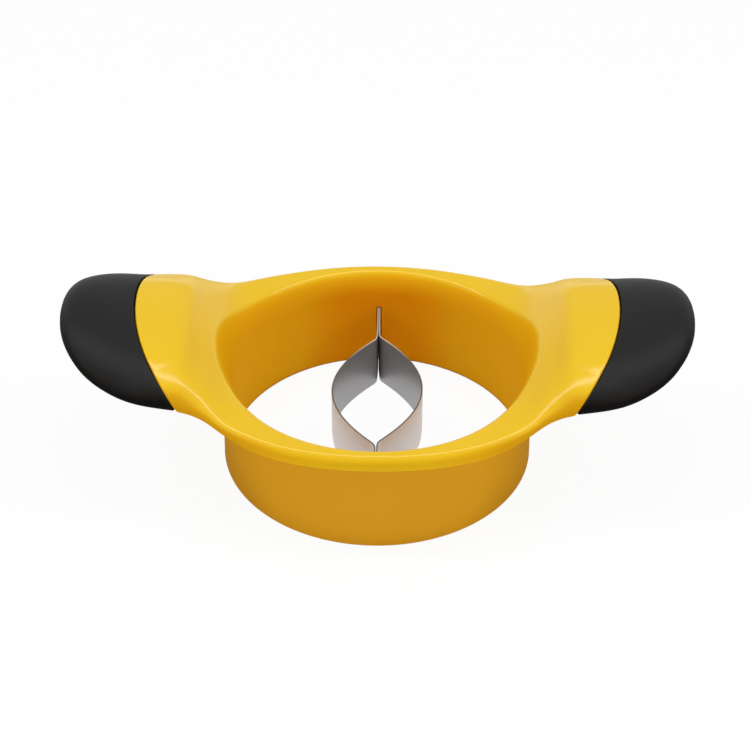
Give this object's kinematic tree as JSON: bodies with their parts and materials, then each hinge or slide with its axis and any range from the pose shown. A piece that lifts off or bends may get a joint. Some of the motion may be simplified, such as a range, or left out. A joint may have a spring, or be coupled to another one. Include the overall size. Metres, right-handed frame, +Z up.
{
  "type": "mango slicer",
  "caption": "Press-down mango slicer: yellow ring frame with winged, rubber-gripped handles and paired bowed blades that part the flesh from the stone",
  "frame": {"origin": "centre of the ring, in the plane of its bottom edge", "axes": "+X along the handles, +Y across them, +Z up, away from the cutting edges"},
  "size_m": [0.2396, 0.1242, 0.069],
  "materials": {
    "yellow_plastic": "smooth glossy injection moulding",
    "blade_steel": "fine satin stainless strip, ground at the lower edge",
    "black_rubber": "matte soft-touch elastomer"
  },
  "bodies": {
    "root": {"frame": "yellow_plastic", "collar": "yellow_plastic", "blade_left": "blade_steel", "blade_right": "blade_steel", "grip_left": "black_rubber", "grip_right": "black_rubber"}
  },
  "joints": []
}
